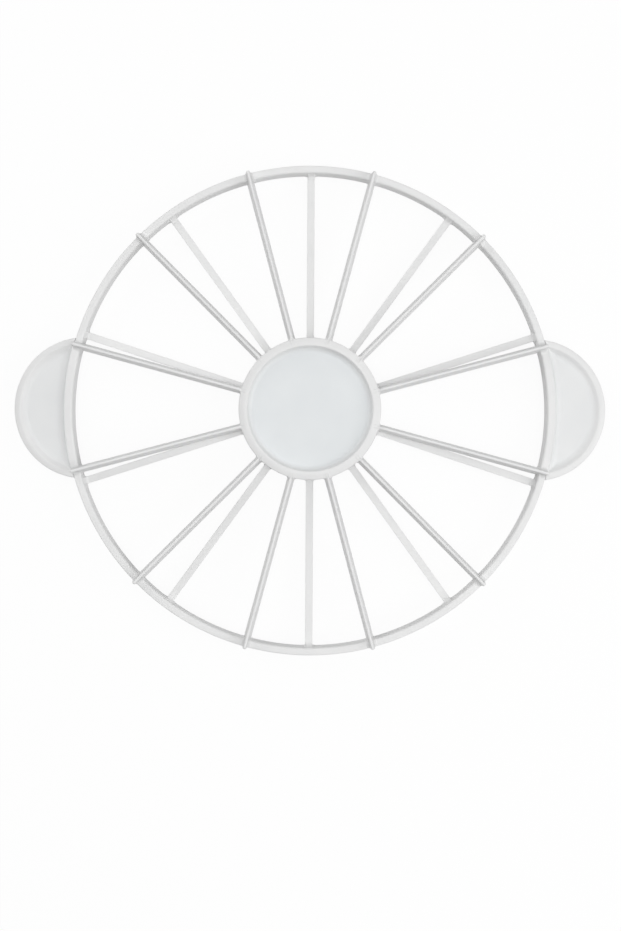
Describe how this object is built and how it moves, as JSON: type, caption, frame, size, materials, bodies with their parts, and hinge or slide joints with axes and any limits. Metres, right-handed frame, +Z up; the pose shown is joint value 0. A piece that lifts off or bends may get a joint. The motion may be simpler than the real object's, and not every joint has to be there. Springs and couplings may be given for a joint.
{
  "type": "cake slice marker",
  "caption": "Round double-sided marker for dividing a cake into equal slices, with radial blades between a dished hub and a ring, and D-shaped grips.",
  "frame": {"origin": "under the hub's centre, on the plane that the crests of the lower blades stand on", "axes": "+Z up out of the upper side, +X towards the right grip, +Y towards the top of the picture"},
  "size_m": [0.3272, 0.27, 0.021],
  "materials": {
    "white_plastic": "satin white moulded plastic"
  },
  "bodies": {
    "root": {"outer_ring": "white_plastic", "hub": "white_plastic", "right_grip": "white_plastic", "left_grip": "white_plastic", "upper_blade_01": "white_plastic", "upper_blade_02": "white_plastic", "upper_blade_03": "white_plastic", "upper_blade_04": "white_plastic", "upper_blade_05": "white_plastic", "upper_blade_06": "white_plastic", "upper_blade_07": "white_plastic", "upper_blade_08": "white_plastic", "upper_blade_09": "white_plastic", "upper_blade_10": "white_plastic", "upper_blade_11": "white_plastic", "upper_blade_12": "white_plastic", "lower_blade_01": "white_plastic", "lower_blade_02": "white_plastic", "lower_blade_03": "white_plastic", "lower_blade_04": "white_plastic", "lower_blade_05": "white_plastic", "lower_blade_06": "white_plastic", "lower_blade_07": "white_plastic", "lower_blade_08": "white_plastic", "lower_blade_09": "white_plastic", "lower_blade_10": "white_plastic"}
  },
  "joints": []
}
